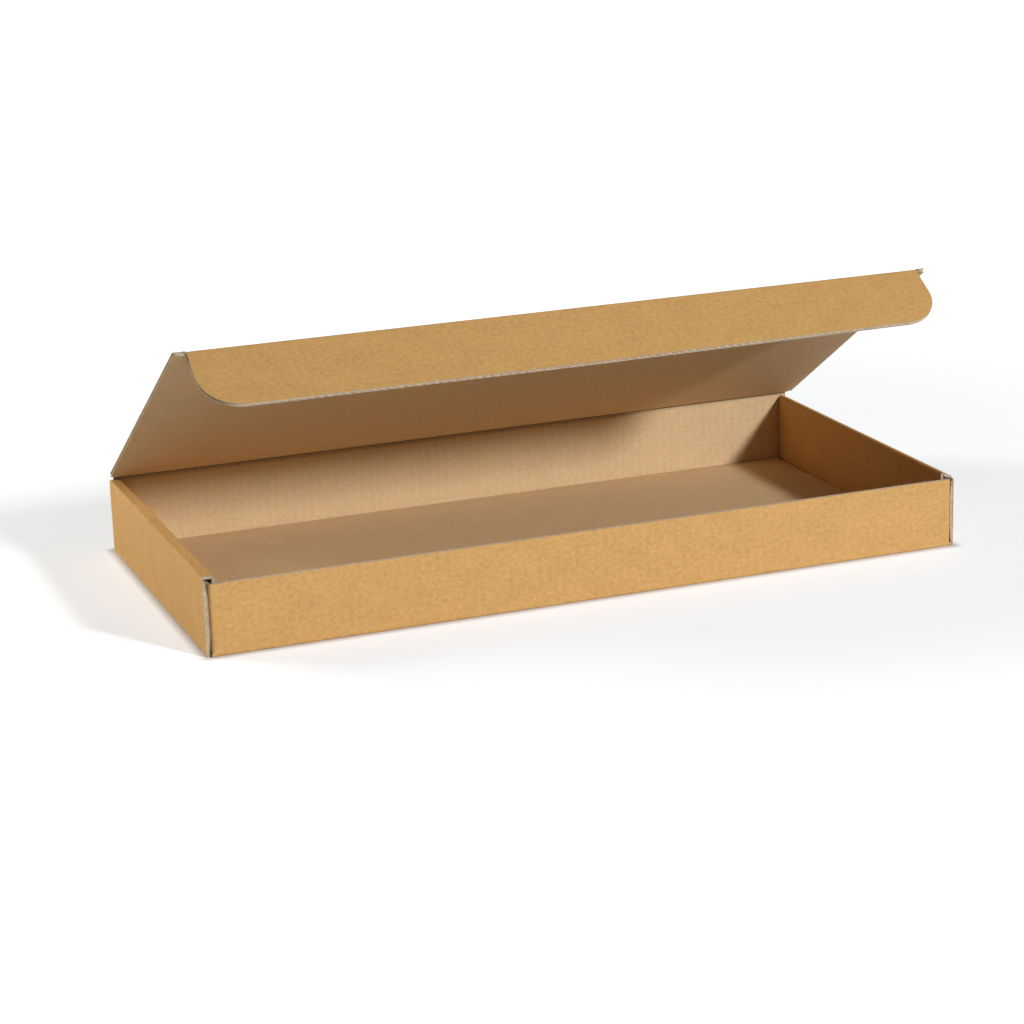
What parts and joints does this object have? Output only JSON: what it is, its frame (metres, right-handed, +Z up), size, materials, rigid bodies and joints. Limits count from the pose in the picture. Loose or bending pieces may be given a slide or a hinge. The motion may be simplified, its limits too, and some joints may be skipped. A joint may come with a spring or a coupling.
{
  "type": "shallow folding mailer box of corrugated cardboard, standing open",
  "caption": "Shallow rectangular folding mailer of brown corrugated board: tray with rolled end walls, hinged lid and round-cornered tuck flap.",
  "frame": {"origin": "middle of the tray's underside, on the surface that the box rests on", "axes": "+X along the width, +Y from the front wall to the lid's hinge at the back, +Z up"},
  "size_m": [0.5, 0.24, 0.1766],
  "materials": {
    "kraft_board": "matte brown corrugated board"
  },
  "bodies": {
    "tray": {"tray": "kraft_board"},
    "lid": {"lid": "kraft_board"},
    "tuck_flap": {"tuck_flap": "kraft_board"}
  },
  "joints": [
    {"name": "lid_hinge", "type": "hinge", "parent": "tray", "child": "lid", "pos_m": [0, 0.11875, 0.05055], "axis": [-1, 0, 0], "range_deg": [-29, 148]},
    {"name": "flap_fold", "type": "hinge", "parent": "lid", "child": "tuck_flap", "pos_m": [0, -0.0802, 0.17487], "axis": [1, 0, 0], "range_deg": [-66, 30]}
  ]
}
